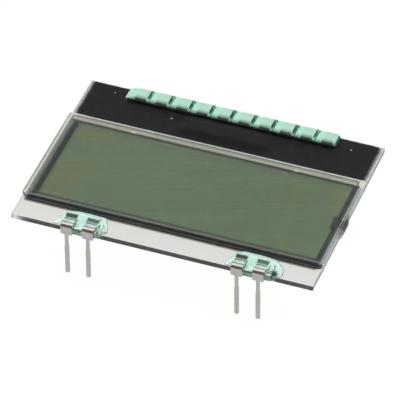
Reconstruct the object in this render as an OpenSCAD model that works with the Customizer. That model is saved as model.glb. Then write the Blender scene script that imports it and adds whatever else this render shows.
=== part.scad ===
// Liquid crystal display module: two bonded glass plates with polarizers, a driver
// chip bonded on the rear ledge, and two rows of stamped clip pins set in clear green
// adhesive. It stands on the tips of its pins.
// X runs along the pin rows, -Y is the ledge with four pins, +Z is the viewing side.

/* [Glass] */
// Width of both glass plates
glass_w = 36; // [34:0.5:44]
// Depth of the rear glass plate
glass_d = 25; // [24:0.5:32]
// Thickness of each glass plate
glass_t = 0.65; // [0.5:0.05:1.1]
// Clear ledge left in front of the front glass
front_ledge = 2.82; // [2.6:0.02:4]
// Coated ledge left behind the front glass
rear_ledge = 6.9; // [6:0.1:8]
// Corner cut on the front glass, left
left_corner_cut = 0.7; // [0.2:0.05:1]
// Corner cut on the front glass, right
right_corner_cut = 0.35; // [0.2:0.05:1]
// Gap between the two plates that holds the liquid crystal
cell_gap = 0.02; // [0.01:0.005:0.05]

/* [Polarizers] */
// Width of each polarizer
polarizer_w = 35; // [30:0.1:35.2]
// Depth of the front polarizer
front_polarizer_d = 13.6; // [10:0.1:14.4]
// Depth of the rear polarizer, which has the reflector on its back
rear_polarizer_d = 15.2; // [12:0.1:16]
// Thickness of each polarizer
polarizer_t = 0.2; // [0.1:0.02:0.3]
// Sideways place of the front polarizer
front_polarizer_shift = 0.3; // [-0.3:0.05:0.3]
// Sideways place of the rear polarizer
rear_polarizer_shift = -0.3; // [-0.3:0.05:0.3]
// Margin from the front edge of the front glass to the polarizers
polarizer_margin = 0.34; // [0.3:0.02:0.8]

/* [Seal] */
// Width of the seal line
seal_w = 1.0; // [0.6:0.05:1.2]
// Bare glass outside the seal at the left and right
seal_margin_x = 0.35; // [0.3:0.05:0.8]
// Bare glass outside the seal at the front and rear
seal_margin_y = 0.18; // [0.1:0.02:0.5]
// Sideways place of the seal
seal_shift = 0.25; // [-0.25:0.05:0.25]
// Width of the filling port in the seal
port_w = 1.3; // [0.8:0.1:2]
// Place of the filling port along Y
port_y = -2; // [-4:0.1:2]
// Length of the resin plug on the port
plug_length = 3.7; // [2:0.1:5]
// How far the plug stands out of the glass
plug_bulge = 0.37; // [0.2:0.01:0.45]

/* [Driver chip] */
// Width of the chip
chip_w = 9.2; // [6:0.1:14]
// Depth of the chip
chip_d = 1.3; // [0.8:0.1:2]
// Height of the chip
chip_t = 0.3; // [0.2:0.05:0.4]
// Thickness of the black coating
coating_t = 0.04; // [0.03:0.01:0.06]

/* [Pins] */
// Pitch of the pins
pitch = 2.54; // [2.5:0.01:2.54]
// Distance between the two pin rows
row_spacing = 25.4; // [25.3:0.02:25.6]
// Height of the rear glass's upper face above the pin tips
stand_height = 6.55; // [5:0.05:9]
// Sideways place of the front row
front_row_shift = 0.2; // [-0.2:0.05:0.2]
// Sideways place of the rear row
rear_row_shift = 0.2; // [-0.2:0.05:0.2]
// Thickness of the pin strip
strip_t = 0.25; // [0.2:0.01:0.25]
// Width of the clip
clip_w = 1.36; // [1.3:0.02:1.6]
// Width of the lead beside the clip
neck_w = 0.4; // [0.35:0.01:0.45]
// Width of the lead below its step
lead_w = 0.5; // [0.45:0.01:0.55]
// Depth of the step below the glass's upper face
step_drop = 2.6; // [2:0.1:3.5]

/* [Adhesive] */
// Height of the adhesive above the rear glass
bead_h = 0.62; // [0.6:0.02:0.64]

/* [Hidden] */
$fn = 64;

half_d = glass_d / 2;
front_glass_y0 = -half_d + front_ledge;
front_glass_y1 = half_d - rear_ledge;
polarizer_y0 = front_glass_y0 + polarizer_margin;
front_glass_z = stand_height + cell_gap;
film_t = 0.02;

// Pin numbers run left to right and count pitches from the centre of a row.
front_places = [-4.5, -3.5, 3.5, 4.5];
rear_places = [-4.5, -3.5, -2.5, -1.5, -0.5, 0.5, 1.5, 2.5, 3.5, 4.5];

// Clip profile: Y runs in from the glass edge and Z up from the gripped face.
lead_off = row_spacing / 2 - half_d;
crest_lift = 0.2;
bend_r = 0.28;
jaw_slope = 10;
contact_r = 0.45;
flare_angle = 35;
flare_length = 0.35;
slot_w = 0.15;
slot_top = -0.6;
lobe_r = 0.42;
arc_steps = 9;

crest_y = bend_r - lead_off;
bend_z = crest_lift + strip_t / 2 - bend_r;
contact_z = strip_t / 2 + contact_r;
reach_r = bend_r + contact_r;
contact_y = crest_y + reach_r * sin(jaw_slope)
    + (bend_z - contact_z + reach_r * cos(jaw_slope)) / tan(jaw_slope);
clip_foot = glass_t + crest_lift + strip_t;
step_ramp = 0.2;
tip_cut = 0.08;

// ---- stamped clip pins ----

// Points of the jaw's middle line, each with its heading, from the face to the tip.
function jaw_path() = concat(
    [[-lead_off, -glass_t / 2, 90]],
    [for (i = [0:arc_steps]) let (h = 90 - i * (90 + jaw_slope) / arc_steps)
        [crest_y - bend_r * sin(h), bend_z + bend_r * cos(h), h]],
    [for (i = [0:arc_steps]) let (h = -jaw_slope + i * (jaw_slope + flare_angle) / arc_steps)
        [contact_y + contact_r * sin(h), contact_z - contact_r * cos(h), h]],
    [[contact_y + contact_r * sin(flare_angle) + flare_length * cos(flare_angle),
        contact_z - contact_r * cos(flare_angle) + flare_length * sin(flare_angle), flare_angle]]
);

// The middle line moved sideways by half the strip's thickness.
function jaw_side(side) = [for (p = jaw_path()) [p[0] - side * sin(p[2]), p[1] + side * cos(p[2])]];

function reversed(list) = [for (i = [len(list) - 1:-1:0]) list[i]];

// One jaw, bent from the face over the glass edge and touching the face at z = 0.
module jaw(width) {
    rotate([90, 0, 90])
        linear_extrude(width, center = true)
            polygon(concat(jaw_side(strip_t / 2), reversed(jaw_side(-strip_t / 2))));
}

// Front view of the two lower lobes, with round outer corners and the slot for the lead.
module lobe_outline() {
    difference() {
        union() {
            translate([-clip_w / 2, -clip_foot + lobe_r]) square([clip_w, clip_foot]);
            translate([-clip_w / 2 + lobe_r, -clip_foot]) square([clip_w - 2 * lobe_r, clip_foot]);
            for (side = [-1, 1])
                translate([side * (clip_w / 2 - lobe_r), lobe_r - clip_foot]) circle(lobe_r);
        }
        translate([-neck_w / 2 - slot_w, -2 * clip_foot])
            square([neck_w + 2 * slot_w, 2 * clip_foot + slot_top]);
    }
}

// Front view of the lead, which widens at a step and has clipped corners at its tip.
module lead_outline() {
    half_neck = neck_w / 2;
    half_lead = lead_w / 2;
    half_tip = half_lead - tip_cut;
    polygon([
        [-half_neck, slot_top + slot_w], [half_neck, slot_top + slot_w],
        [half_neck, -step_drop + step_ramp], [half_lead, -step_drop],
        [half_lead, -stand_height + tip_cut], [half_tip, -stand_height],
        [-half_tip, -stand_height], [-half_lead, -stand_height + tip_cut],
        [-half_lead, -step_drop], [-half_neck, -step_drop + step_ramp]
    ]);
}

// A whole pin: upper jaw, two lower lobes bent under the glass and the lead between them.
module clip_pin() {
    jaw(clip_w);
    intersection() {
        translate([0, 0, -glass_t]) mirror([0, 0, 1]) jaw(clip_w);
        rotate([90, 0, 0]) linear_extrude(4 * row_spacing, center = true) lobe_outline();
    }
    translate([0, -lead_off + strip_t / 2, 0])
        rotate([90, 0, 0]) linear_extrude(strip_t) lead_outline();
}

module front_pin(number) {
    color("silver")
        translate([front_places[number - 1] * pitch + front_row_shift, -half_d, stand_height]) clip_pin();
}

module rear_pin(number) {
    color("silver")
        translate([rear_places[number - 1] * pitch + rear_row_shift, half_d, stand_height])
            mirror([0, 1, 0]) clip_pin();
}

// ---- glass ----

module rear_glass() {
    color([0.85, 0.9, 0.88, 0.5])
        translate([-glass_w / 2, -half_d, stand_height - glass_t]) cube([glass_w, glass_d, glass_t]);
}

module front_glass() {
    color([0.85, 0.9, 0.88, 0.5])
        translate([0, 0, front_glass_z]) linear_extrude(glass_t)
            polygon([
                [-glass_w / 2, front_glass_y1], [-glass_w / 2, front_glass_y0 + left_corner_cut],
                [-glass_w / 2 + left_corner_cut, front_glass_y0],
                [glass_w / 2 - right_corner_cut, front_glass_y0],
                [glass_w / 2, front_glass_y0 + right_corner_cut], [glass_w / 2, front_glass_y1]
            ]);
}

// ---- liquid crystal cell ----

dot_x = 9.9;
dot_r = 0.3;
lip_length = 0.3;
lip_w = 0.4;
seal_outer_w = glass_w - 2 * seal_margin_x;
seal_outer_d = front_glass_y1 - front_glass_y0 - 2 * seal_margin_y;
seal_edge = seal_shift + seal_outer_w / 2;

// Plan of the seal's outer edge, shrunk by a margin.
module cell_plan(margin) {
    translate([seal_shift - seal_outer_w / 2 + margin, front_glass_y0 + seal_margin_y + margin])
        square([seal_outer_w - 2 * margin, seal_outer_d - 2 * margin]);
}

// Strip across the seal's right side at the filling port.
module port_plan(start, end, width) {
    translate([start, port_y - width / 2]) square([end - start, width]);
}

module dot_plan() {
    for (side = [-1, 1])
        translate([side * dot_x, front_glass_y1 - seal_margin_y - seal_w / 2]) circle(dot_r);
}

module perimeter_seal() {
    color([0.72, 0.72, 0.64])
        translate([0, 0, stand_height]) linear_extrude(cell_gap)
            difference() {
                union() {
                    difference() {
                        cell_plan(0);
                        cell_plan(seal_w);
                    }
                    port_plan(seal_edge - seal_w - lip_length, seal_edge, port_w + 2 * lip_w);
                }
                port_plan(seal_edge - seal_w - lip_length, seal_edge, port_w);
                dot_plan();
            }
}

module transfer_dots() {
    color("gainsboro")
        translate([0, 0, stand_height]) linear_extrude(cell_gap) dot_plan();
}

module liquid_crystal() {
    color([0.5, 0.56, 0.46])
        translate([0, 0, stand_height]) linear_extrude(cell_gap)
            difference() {
                cell_plan(seal_w);
                port_plan(seal_edge - seal_w - lip_length, seal_edge, port_w + 2 * lip_w);
            }
}

// Barrel standing on one of its sides, so that its crown rises to plug_bulge.
module crowned_side(half_width, length) {
    r = (half_width * half_width + plug_bulge * plug_bulge) / (2 * plug_bulge);
    translate([plug_bulge - r, 0, 0]) cylinder(r = r, h = length, center = true, $fn = 128);
}

// Resin plug: a lens on the glass edge, with a tongue that fills the port.
module fill_port_plug() {
    half_l = plug_length / 2;
    half_h = glass_t * 0.72;
    color([0.25, 0.28, 0.25])
        union() {
            translate([glass_w / 2, port_y, stand_height + cell_gap / 2])
                intersection() {
                    crowned_side(half_l, 2 * half_h);
                    rotate([90, 0, 0]) crowned_side(half_h, plug_length);
                    translate([0, -half_l, -half_h]) cube([plug_bulge, plug_length, 2 * half_h]);
                }
            translate([0, 0, stand_height]) linear_extrude(cell_gap)
                port_plan(seal_edge - seal_w - lip_length, glass_w / 2, port_w);
        }
}

// ---- polarizers ----

module front_polarizer() {
    color([0.42, 0.47, 0.39])
        translate([front_polarizer_shift - polarizer_w / 2, polarizer_y0, front_glass_z + glass_t])
            cube([polarizer_w, front_polarizer_d, polarizer_t]);
}

module rear_polarizer() {
    color([0.6, 0.62, 0.58])
        translate([rear_polarizer_shift, polarizer_y0, stand_height - glass_t - polarizer_t])
            translate([-polarizer_w / 2, 0, 0]) cube([polarizer_w, rear_polarizer_d, polarizer_t]);
}

// ---- driver chip on the rear ledge ----

chip_y = front_glass_y1 + 3;
coating_margin = 0.35;
coating_swell = 1.4;
bead_half = 4.5 * pitch + clip_w / 2 + 0.95;
bead_x = rear_row_shift - 0.4;

// Black coating's plan: the whole ledge less a margin, cut back where the pins bear.
module coating_plan() {
    bead_y = half_d - 1.5;
    difference() {
        translate([-glass_w / 2 + coating_margin, front_glass_y1])
            square([glass_w - 2 * coating_margin, rear_ledge - 0.15]);
        translate([bead_x - bead_half, bead_y]) square([2 * bead_half, rear_ledge]);
    }
}

module driver_chip() {
    color([0.2, 0.2, 0.22])
        translate([-chip_w / 2, chip_y - chip_d / 2, stand_height + film_t]) cube([chip_w, chip_d, chip_t]);
}

module chip_bond_film() {
    color([0.5, 0.47, 0.4])
        translate([-chip_w / 2, chip_y - chip_d / 2, stand_height]) cube([chip_w, chip_d, film_t]);
}

// Coating: a thin coat over the ledge that swells over the chip.
module chip_coating() {
    top_h = film_t + chip_t + coating_t;
    color([0.13, 0.13, 0.13])
        difference() {
            translate([0, 0, stand_height])
                union() {
                    linear_extrude(coating_t) coating_plan();
                    translate([0, chip_y, 0])
                        hull() {
                            centred_slab(chip_w + 2 * coating_swell, chip_d + 2 * coating_swell, coating_t);
                            centred_slab(chip_w + coating_swell / 4, chip_d + coating_swell / 4, top_h);
                        }
                }
            driver_chip();
            chip_bond_film();
        }
}

module centred_slab(width, depth, height) {
    translate([-width / 2, -depth / 2, 0]) cube([width, depth, height]);
}

// ---- adhesive ----

wrap_r = 0.32;
wrap_low = -0.52;
wrap_high = -0.05;
pool_end = 2.25;
pool_crown = 0.95;
sink_r = 0.3;
sink_x = -0.25;
sink_z = 0.62;

// Bead along X with ball ends, centred on x, through the given places in Y and heights.
module bead(x, places, heights, half_length, r) {
    hull()
        for (side = [-1, 1], y = places, z = heights)
            translate([x + side * (half_length - r), y, stand_height + z]) sphere(r, $fn = 32);
}

// Space above the rear glass, where adhesive lies on the ledges.
module above_ledge(y0, y1) {
    translate([-glass_w / 2, y0, stand_height]) cube([glass_w, y1 - y0, front_ledge]);
}

// Pool of adhesive over two clips, drawn up against the front glass and round the edge.
module front_pool(middle) {
    color([0.65, 0.88, 0.78, 0.7])
        difference() {
            union() {
                intersection() {
                    hull() {
                        for (side = [-1, 1])
                            translate([middle + side * pool_end, -half_d + 0.75, stand_height - 0.15])
                                sphere(bead_h + 0.15, $fn = 32);
                        for (side = [-1, 1])
                            translate([middle + side * pool_crown, front_glass_y0 - 0.55, stand_height])
                                sphere(bead_h, $fn = 32);
                    }
                    above_ledge(-half_d, front_glass_y0);
                }
                bead(middle, [-half_d], [wrap_low, wrap_high], pool_end + wrap_r, wrap_r);
            }
            rear_glass();
            for (i = [1:4]) front_pin(i);
        }
}

module front_left_adhesive() {
    front_pool((front_places[0] + front_places[1]) / 2 * pitch + front_row_shift);
}

module front_right_adhesive() {
    front_pool((front_places[2] + front_places[3]) / 2 * pitch + front_row_shift);
}

// Long bead over the jaws of the rear clips, sunk between them and drawn round the edge.
module rear_adhesive() {
    color([0.65, 0.88, 0.78, 0.7])
        difference() {
            union() {
                intersection() {
                    bead(bead_x, [half_d - 1.45, half_d - 0.62], [-0.05], bead_half, 0.66);
                    above_ledge(front_glass_y1, half_d);
                }
                bead(bead_x, [half_d], [wrap_low, wrap_high], bead_half - 0.3, wrap_r);
            }
            for (i = [-4:4])
                translate([rear_row_shift + i * pitch + sink_x, half_d - 1, stand_height + sink_z])
                    rotate([90, 0, 0]) cylinder(r = sink_r, h = rear_ledge / 2, center = true, $fn = 32);
            rear_glass();
            chip_coating();
            for (i = [1:10]) rear_pin(i);
        }
}

rear_glass();
front_glass();
perimeter_seal();
transfer_dots();
liquid_crystal();
fill_port_plug();
front_polarizer();
rear_polarizer();
driver_chip();
chip_bond_film();
chip_coating();
rear_adhesive();
front_left_adhesive();
front_right_adhesive();
front_pin(1);  // front_pin_1
front_pin(2);  // front_pin_2
front_pin(3);  // front_pin_3
front_pin(4);  // front_pin_4
rear_pin(1);  // rear_pin_1
rear_pin(2);  // rear_pin_2
rear_pin(3);  // rear_pin_3
rear_pin(4);  // rear_pin_4
rear_pin(5);  // rear_pin_5
rear_pin(6);  // rear_pin_6
rear_pin(7);  // rear_pin_7
rear_pin(8);  // rear_pin_8
rear_pin(9);  // rear_pin_9
rear_pin(10);  // rear_pin_10
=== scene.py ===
import math
import bpy
import bmesh
import numpy as np
from mathutils import Matrix, Vector


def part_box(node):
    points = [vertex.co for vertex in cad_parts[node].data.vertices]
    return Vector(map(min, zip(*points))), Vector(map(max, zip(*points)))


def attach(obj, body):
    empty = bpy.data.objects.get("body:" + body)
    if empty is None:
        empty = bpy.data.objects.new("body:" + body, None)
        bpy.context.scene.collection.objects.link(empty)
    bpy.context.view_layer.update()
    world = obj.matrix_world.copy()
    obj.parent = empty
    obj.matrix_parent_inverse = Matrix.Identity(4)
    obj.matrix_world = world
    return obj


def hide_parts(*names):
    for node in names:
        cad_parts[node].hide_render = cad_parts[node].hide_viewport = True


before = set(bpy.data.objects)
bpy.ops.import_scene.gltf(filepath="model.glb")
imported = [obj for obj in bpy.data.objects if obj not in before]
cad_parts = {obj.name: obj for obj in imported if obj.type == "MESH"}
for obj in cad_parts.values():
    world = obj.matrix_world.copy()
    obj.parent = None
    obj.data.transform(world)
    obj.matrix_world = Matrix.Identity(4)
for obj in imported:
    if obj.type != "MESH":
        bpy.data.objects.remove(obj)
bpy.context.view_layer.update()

mm = 0.001
scene = bpy.context.scene


def boxOf(node):  # lowest and highest corner of a CAD node, in millimetres
    low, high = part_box(node)
    return np.array(low) / mm, np.array(high) / mm


rearLow, rearHigh = boxOf("rear_glass")
frontLow, frontHigh = boxOf("front_glass")
filmLow, filmHigh = boxOf("front_polarizer")
backFilmLow, backFilmHigh = boxOf("rear_polarizer")
chipLow, chipHigh = boxOf("driver_chip")
plugLow, plugHigh = boxOf("fill_port_plug")
deckZ = rearHigh[2]  # upper face of the rear glass


def spanMiddle(first, last):  # middle of the span from one node's left side to another's right side
    return (boxOf(first)[0][0] + boxOf(last)[1][0]) / 2


print("frame loaded:", len(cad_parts), "nodes")


def paint(red, green, blue):  # screen values 0 to 255 as a linear colour
    def linear(value):
        value /= 255
        return value / 12.92 if value <= 0.04045 else ((value + 0.055) / 1.055) ** 2.4
    return (linear(red), linear(green), linear(blue), 1)


def addNode(tree, kind, settings=None, **inputs):
    node = tree.nodes.new(kind)
    for key, value in (settings or {}).items():
        setattr(node, key, value)
    for key, value in inputs.items():
        name = key.replace("_", " ")
        target = node.inputs[int(key[1:])] if key[0] == "i" and key[1:].isdigit() else node.inputs[name]
        if isinstance(value, bpy.types.NodeSocket):
            tree.links.new(value, target)
        else:
            target.default_value = value
    return node


def newMaterial(name):
    material = bpy.data.materials.new(name)
    material.use_nodes = True
    material.node_tree.nodes.clear()
    return material, material.node_tree


def finishMaterial(tree, surface, volume=None):
    output = addNode(tree, "ShaderNodeOutputMaterial", Surface=surface)
    if volume is not None:
        tree.links.new(volume, output.inputs["Volume"])


def pointIn(tree):  # object coordinates in millimetres
    coordinates = addNode(tree, "ShaderNodeTexCoord").outputs["Object"]
    scaled = addNode(tree, "ShaderNodeVectorMath", {"operation": "SCALE"}, i0=coordinates, Scale=1 / mm)
    return scaled.outputs[0]


def partsOf(tree, vector):
    return addNode(tree, "ShaderNodeSeparateXYZ", Vector=vector).outputs


def maths(tree, operation, first, second=0.0):
    return addNode(tree, "ShaderNodeMath", {"operation": operation}, i0=first, i1=second).outputs[0]


def product(tree, first, second):
    return maths(tree, "MULTIPLY", first, second)


def distanceFrom(tree, value, middle):
    return maths(tree, "ABSOLUTE", maths(tree, "SUBTRACT", value, middle))


def fade(tree, value, start, end):  # smooth step: 0 at start, 1 at end
    return addNode(
        tree, "ShaderNodeMapRange", {"interpolation_type": "SMOOTHSTEP"},
        Value=value, From_Min=start, From_Max=end,
    ).outputs["Result"]


def blendOf(tree, factor, first, second):
    node = addNode(tree, "ShaderNodeMix", {"data_type": "RGBA"}, i0=factor)
    for index, value in ((6, first), (7, second)):
        if isinstance(value, bpy.types.NodeSocket):
            tree.links.new(value, node.inputs[index])
        else:
            node.inputs[index].default_value = value
    return node.outputs[2]


def noiseOf(tree, vector, scale, detail=3.0, roughness=0.5, stretch=None, offset=(0, 0, 0)):
    if stretch is not None or any(offset):
        vector = addNode(
            tree, "ShaderNodeMapping", Vector=vector, Scale=stretch or (1, 1, 1), Location=offset,
        ).outputs[0]
    return addNode(
        tree, "ShaderNodeTexNoise", Vector=vector, Scale=scale, Detail=detail, Roughness=roughness,
    ).outputs[0]


def rampOf(tree, factor, colours, stops=(0.3, 0.7)):
    node = addNode(tree, "ShaderNodeValToRGB", Fac=factor)
    elements = node.color_ramp.elements
    while len(elements) < len(stops):
        elements.new(0.5)
    for element, position, colour in zip(elements, stops, colours):
        element.position = position
        element.color = colour
    return node.outputs[0]


def bumpOf(tree, height, strength, distance):  # the distance is in millimetres
    distance *= mm
    return addNode(tree, "ShaderNodeBump", Height=height, Strength=strength, Distance=distance).outputs[0]


def principled(tree, **settings):
    return addNode(tree, "ShaderNodeBsdfPrincipled", **settings).outputs[0]


def clearShader(tree, tint=(1, 1, 1, 1)):
    return addNode(tree, "ShaderNodeBsdfTransparent", Color=tint).outputs[0]


def mixShaders(tree, share, first, second):
    return addNode(tree, "ShaderNodeMixShader", Fac=share, i1=first, i2=second).outputs[0]


def spreadOf(tree, value, low, high):  # 0 to 1 is carried to low to high
    return addNode(tree, "ShaderNodeMapRange", Value=value, To_Min=low, To_Max=high).outputs[0]


def mottled(name, noise, colours, stops=(0.3, 0.7), **finish):  # plain material with cloudy colour
    material, tree = newMaterial(name)
    tone = rampOf(tree, noiseOf(tree, pointIn(tree), *noise), colours, stops)
    finishMaterial(tree, principled(tree, Base_Color=tone, **finish))
    return material


def addObject(name, data):
    added = bpy.data.objects.new(name, data)
    scene.collection.objects.link(added)
    return added


def keepPiece(name, points, faces, materials):  # points in millimetres
    mesh = bpy.data.meshes.new(name)
    mesh.from_pydata((np.asarray(points, float) * mm).tolist(), [], [list(map(int, face)) for face in faces])
    piece = addObject(name, mesh)
    dress(piece, materials)
    return piece


def dress(piece, materials, choose=None, smooth=True):
    piece.data.materials.clear()
    for material in materials:
        piece.data.materials.append(material)
    for face in piece.data.polygons:
        face.use_smooth = smooth
        face.material_index = choose(face) if choose else 0


def bakeModifiers(piece):  # the evaluated mesh takes the place of the live one
    graph = bpy.context.evaluated_depsgraph_get()
    mesh = bpy.data.meshes.new_from_object(piece.evaluated_get(graph))
    piece.modifiers.clear()
    old = piece.data
    piece.data = mesh
    bpy.data.meshes.remove(old)
    mesh.name = piece.name


def roundEdges(piece, width, segments, sharpest):  # narrow bevel on edges that turn more than this angle
    bevel = piece.modifiers.new("rounding", "BEVEL")
    bevel.width = width * mm
    bevel.segments = segments
    bevel.limit_method = "ANGLE"
    bevel.angle_limit = math.radians(sharpest)
    bakeModifiers(piece)


def settle(piece, slotName, *nodes):
    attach(piece, "root")
    if nodes:
        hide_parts(*nodes)


def putInSteadyOrder(piece):  # a bevel can number its corners and faces otherwise on each run
    corners = [tuple(corner.co) for corner in piece.data.vertices]
    order = sorted(range(len(corners)), key=corners.__getitem__)
    number = {old: new for new, old in enumerate(order)}
    rings = []
    for face in piece.data.polygons:
        ring = [number[corner] for corner in face.vertices]
        first = ring.index(min(ring))
        rings.append(ring[first:] + ring[:first])
    piece.data.clear_geometry()
    piece.data.from_pydata([corners[old] for old in order], [], sorted(rings))


def slab(name, outline, bottom, top, arris, materials, choose, segments=2):
    # a plate from its plan outline, with its edges taken off by a narrow bevel
    form = bmesh.new()
    base = form.faces.new([form.verts.new((x * mm, y * mm, bottom * mm)) for x, y in outline])
    base.normal_update()
    if base.normal.z > 0:
        base.normal_flip()
    grown = bmesh.ops.extrude_face_region(form, geom=[base])
    up = [v for v in grown["geom"] if isinstance(v, bmesh.types.BMVert)]
    bmesh.ops.translate(form, verts=up, vec=(0, 0, (top - bottom) * mm))
    bmesh.ops.recalc_face_normals(form, faces=form.faces)
    mesh = bpy.data.meshes.new(name)
    form.to_mesh(mesh)
    form.free()
    piece = addObject(name, mesh)
    roundEdges(piece, arris, segments, 25)
    putInSteadyOrder(piece)
    dress(piece, materials, choose, smooth=False)
    return piece


def roundedOutline(low, high, radius, steps=4):
    outline = []
    corners = ((high[0], high[1]), (low[0], high[1]), (low[0], low[1]), (high[0], low[1]))
    for turn, (x, y) in enumerate(corners):
        middle = (x - radius * (1 if turn in (0, 3) else -1), y - radius * (1 if turn in (0, 1) else -1))
        for step in range(steps + 1):
            angle = math.pi / 2 * (turn + step / steps)
            outline.append((middle[0] + radius * math.cos(angle), middle[1] + radius * math.sin(angle)))
    return outline


def surfaceNet(field, low, high, step, smoothing=2):
    # closed quad mesh on the zero level of a field, which is negative inside
    low = np.asarray(low, float)
    axes = [np.arange(start, end + step, step) for start, end in zip(low, high)]
    values = field(*np.meshgrid(*axes, indexing="ij"))
    inside = values < 0
    units = np.eye(3, dtype=int)
    corners = [np.array((i, j, k)) for i in (0, 1) for j in (0, 1) for k in (0, 1)]
    sizes = np.array(inside.shape) - 1
    filled = sum(
        inside[i:i + sizes[0], j:j + sizes[1], k:k + sizes[2]].astype(np.int8) for i, j, k in corners
    )
    crossed = (filled > 0) & (filled < 8)
    cells = np.argwhere(crossed)
    index = np.full(crossed.shape, -1)
    index[crossed] = np.arange(len(cells))
    total = np.zeros((len(cells), 3))
    hits = np.zeros(len(cells))
    for axis in range(3):
        for corner in corners:
            if corner[axis]:
                continue
            start = cells + corner
            first = values[tuple(start.T)]
            second = values[tuple((start + units[axis]).T)]
            cuts = (first < 0) != (second < 0)
            share = np.where(cuts, first / np.where(cuts, first - second, 1), 0)
            total += (start + share[:, None] * units[axis]) * cuts[:, None]
            hits += cuts
    points = low + step * total / hits[:, None]
    quads = []
    for axis in range(3):
        side, rise = (axis + 1) % 3, (axis + 2) % 3
        count = inside.shape[axis]
        here = inside.take(range(count - 1), axis)
        edges = np.argwhere(here != inside.take(range(1, count), axis))
        keep = np.ones(len(edges), bool)
        for across in (side, rise):
            keep &= (edges[:, across] > 0) & (edges[:, across] < inside.shape[across] - 1)
        edges = edges[keep]
        moves = (units[side] + units[rise], units[rise], units[0] * 0, units[side])
        quad = np.stack([index[tuple((edges - move).T)] for move in moves], 1)
        outward = here[tuple(edges.T)]
        quads.append(np.where(outward[:, None], quad, quad[:, ::-1]))
    quads = np.concatenate(quads)
    for _ in range(smoothing):  # each point moves half way to its neighbours' mean
        mean = np.zeros_like(points)
        degree = np.zeros(len(points))
        for a, b in ((0, 1), (1, 2), (2, 3), (3, 0)):
            for one, two in ((a, b), (b, a)):
                np.add.at(mean, quads[:, one], points[quads[:, two]])
                np.add.at(degree, quads[:, one], 1)
        points = 0.5 * points + 0.5 * mean / degree[:, None]
    return points, quads


def joined(first, second, radius):  # smooth union of two fields
    share = np.clip(0.5 + 0.5 * (second - first) / radius, 0, 1)
    return second * (1 - share) + first * share - radius * share * (1 - share)


def capsule(x, y, z, start, end, radius):  # rod with round ends
    start, end = np.asarray(start, float), np.asarray(end, float)
    line = end - start
    outX, outY, outZ = x - start[0], y - start[1], z - start[2]
    along = (outX * line[0] + outY * line[1] + outZ * line[2]) / max(line @ line, 1e-9)
    along = np.clip(along, 0, 1)
    squares = (outX - along * line[0]) ** 2 + (outY - along * line[1]) ** 2 + (outZ - along * line[2]) ** 2
    return np.sqrt(squares) - radius


# angles in degrees, lengths in millimetres, the view's middle as shifts along its own right and up
camera = {"azimuth": 20.7707, "elevation": 41.3304, "roll": -0.6316, "distance": 508.26,
          "right": 0.0352, "up": -2.2076, "lens": 402.866}
azimuth, elevation, roll = (math.radians(camera[key]) for key in ("azimuth", "elevation", "roll"))
level = math.cos(elevation)
backward = Vector((math.sin(azimuth) * level, -math.cos(azimuth) * level, math.sin(elevation)))
rightward = Vector((math.cos(azimuth), math.sin(azimuth), 0))
upward = backward.cross(rightward)
eye = backward * camera["distance"] + rightward * camera["right"] + upward * camera["up"]
eye += Vector((0, 0, deckZ))
turnedRight = rightward * math.cos(roll) + upward * math.sin(roll)
turnedUp = upward * math.cos(roll) - rightward * math.sin(roll)
cameraData = bpy.data.cameras.new("camera")
cameraData.lens = camera["lens"]
cameraData.sensor_width = 36
cameraData.clip_start = 0.01
cameraObject = addObject("camera", cameraData)
turn = Matrix((turnedRight, turnedUp, backward)).transposed().to_4x4()
cameraObject.matrix_world = Matrix.Translation(eye * mm) @ turn
bpy.context.scene.camera = cameraObject

# a softbox and a bright wall behind the part; their edges are how far a direction points to the rear
light = {"warm": (1.0, 0.76, 0.66, 1), "white": (1.0, 1.0, 0.99, 1), "seen": 1.0, "room": 0.28, "gap": 0.32,
         "softbox": 2.3, "softboxEdges": (0.10, 0.22, 0.63, 0.68), "wall": 2.2, "wallEdges": (0.74, 0.80)}
ground = {"glow": 0.97, "white": 0.05, "cloud": 0.98, "reach": 2500}
scene.view_settings.view_transform = "Standard"
scene.cycles.use_denoising = True
world = bpy.data.worlds.new("studio")
world.use_nodes = True
scene.world = world
sky = world.node_tree
sky.nodes.clear()
direction = addNode(sky, "ShaderNodeTexCoord").outputs["Generated"]
skyParts = addNode(sky, "ShaderNodeSeparateXYZ", Vector=direction).outputs
near, full, past, gone = light["softboxEdges"]
towardBack = fade(sky, skyParts["Y"], near, full)
steps = [(fade(sky, skyParts["Y"], past, gone), light["gap"] - light["softbox"]),
         (fade(sky, skyParts["Y"], *light["wallEdges"]), light["wall"] - light["gap"])]
brightness = spreadOf(sky, towardBack, light["room"], light["softbox"])
for share, change in steps:
    brightness = maths(sky, "ADD", brightness, product(sky, share, change))
seen = addNode(sky, "ShaderNodeLightPath").outputs["Is Camera Ray"]
shown = addNode(
    sky, "ShaderNodeMix", {"data_type": "FLOAT"}, i0=seen, i2=brightness, i3=light["seen"],
).outputs[0]
skyTone = blendOf(sky, towardBack, light["warm"], light["white"])
skyTone = blendOf(sky, seen, skyTone, (1, 1, 1, 1))
backdrop = addNode(sky, "ShaderNodeBackground", Color=skyTone, Strength=shown)
addNode(sky, "ShaderNodeOutputWorld", Surface=backdrop.outputs[0])

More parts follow.
